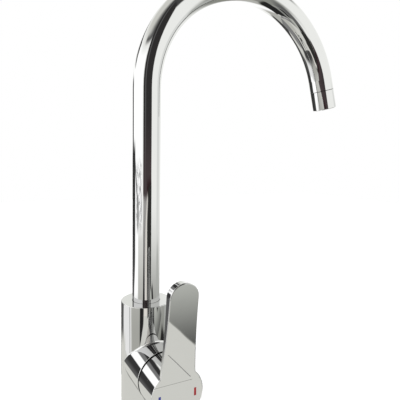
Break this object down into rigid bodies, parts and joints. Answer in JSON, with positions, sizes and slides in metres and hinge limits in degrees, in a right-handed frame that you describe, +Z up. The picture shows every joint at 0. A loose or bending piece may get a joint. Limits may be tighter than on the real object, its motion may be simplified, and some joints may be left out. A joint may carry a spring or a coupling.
{
  "type": "basin mixer tap",
  "caption": "Tall single-lever mixer tap with a swan-neck swivel spout, a cylindrical body, a side barrel and a flat paddle lever.",
  "frame": {"origin": "centre of the tap hole at the worktop's surface, under the middle of the body", "axes": "+Z up along the riser; the spout points along +X at rest; the lever's barrel points along -Y"},
  "size_m": [0.2487, 0.1084, 0.476],
  "materials": {
    "polished_chrome": "bright chrome plate on brass, tube and zinc castings",
    "machined_brass": "turned, unplated",
    "black_rubber": "matt moulded rubber",
    "plated_steel": "zinc plated steel",
    "stainless_steel": "fine ground stainless steel",
    "white_plastic": "white acetal",
    "grey_plastic": "grey glass-filled plastic",
    "dark_plastic": "smooth black plastic",
    "ceramic": "lapped alumina ceramic",
    "plug_chrome": "chrome plated plastic",
    "red_enamel": "red enamel",
    "blue_enamel": "blue enamel"
  },
  "bodies": {
    "body": {"body_casting": "polished_chrome", "base_ring": "polished_chrome", "base_seal": "black_rubber", "fixing_studs": "plated_steel", "clamp_gasket": "black_rubber", "clamp_plate": "plated_steel", "fixing_nuts": "machined_brass", "guide_rings": "white_plastic", "spout_lock_screw": "stainless_steel", "cartridge_base": "grey_plastic", "port_seals": "black_rubber", "cartridge_housing": "white_plastic", "fixed_disc": "ceramic", "retaining_nut": "machined_brass", "dome_cover": "dark_plastic"},
    "spout": {"spout_tube": "polished_chrome", "spout_adapter": "machined_brass", "spout_o_rings": "black_rubber", "aerator_housing": "polished_chrome", "aerator_insert": "white_plastic", "aerator_screen": "stainless_steel", "aerator_seal": "black_rubber"},
    "temperature_carrier": {"cartridge_rotor": "grey_plastic", "pivot_pin": "stainless_steel"},
    "mixing_disc": {"moving_disc": "ceramic", "disc_carrier": "grey_plastic"},
    "lever": {"lever_stem": "machined_brass", "handle": "polished_chrome", "grub_screw": "stainless_steel", "screw_plug": "plug_chrome", "red_mark": "red_enamel", "blue_mark": "blue_enamel"}
  },
  "joints": [
    {"name": "spout_swivel", "type": "hinge", "parent": "body", "child": "spout", "pos_m": [0, 0, 0.115], "axis": [0, 0, 1], "continuous": true},
    {"name": "handle_turn", "type": "hinge", "parent": "body", "child": "temperature_carrier", "pos_m": [0, -0.033, 0.0603], "axis": [0, -1, 0], "range_deg": [-50, 50]},
    {"name": "handle_lift", "type": "hinge", "parent": "temperature_carrier", "child": "lever", "pos_m": [0, -0.033, 0.0603], "axis": [1, 0, 0], "range_deg": [0, 22]},
    {"name": "disc_slide", "type": "slide", "parent": "temperature_carrier", "child": "mixing_disc", "axis": [0, 0, 1], "range_m": [0, 0.004]}
  ],
  "couplings": [
    {"joint": "disc_slide", "follows": "handle_lift", "m_per_rad": 0.00995}
  ]
}
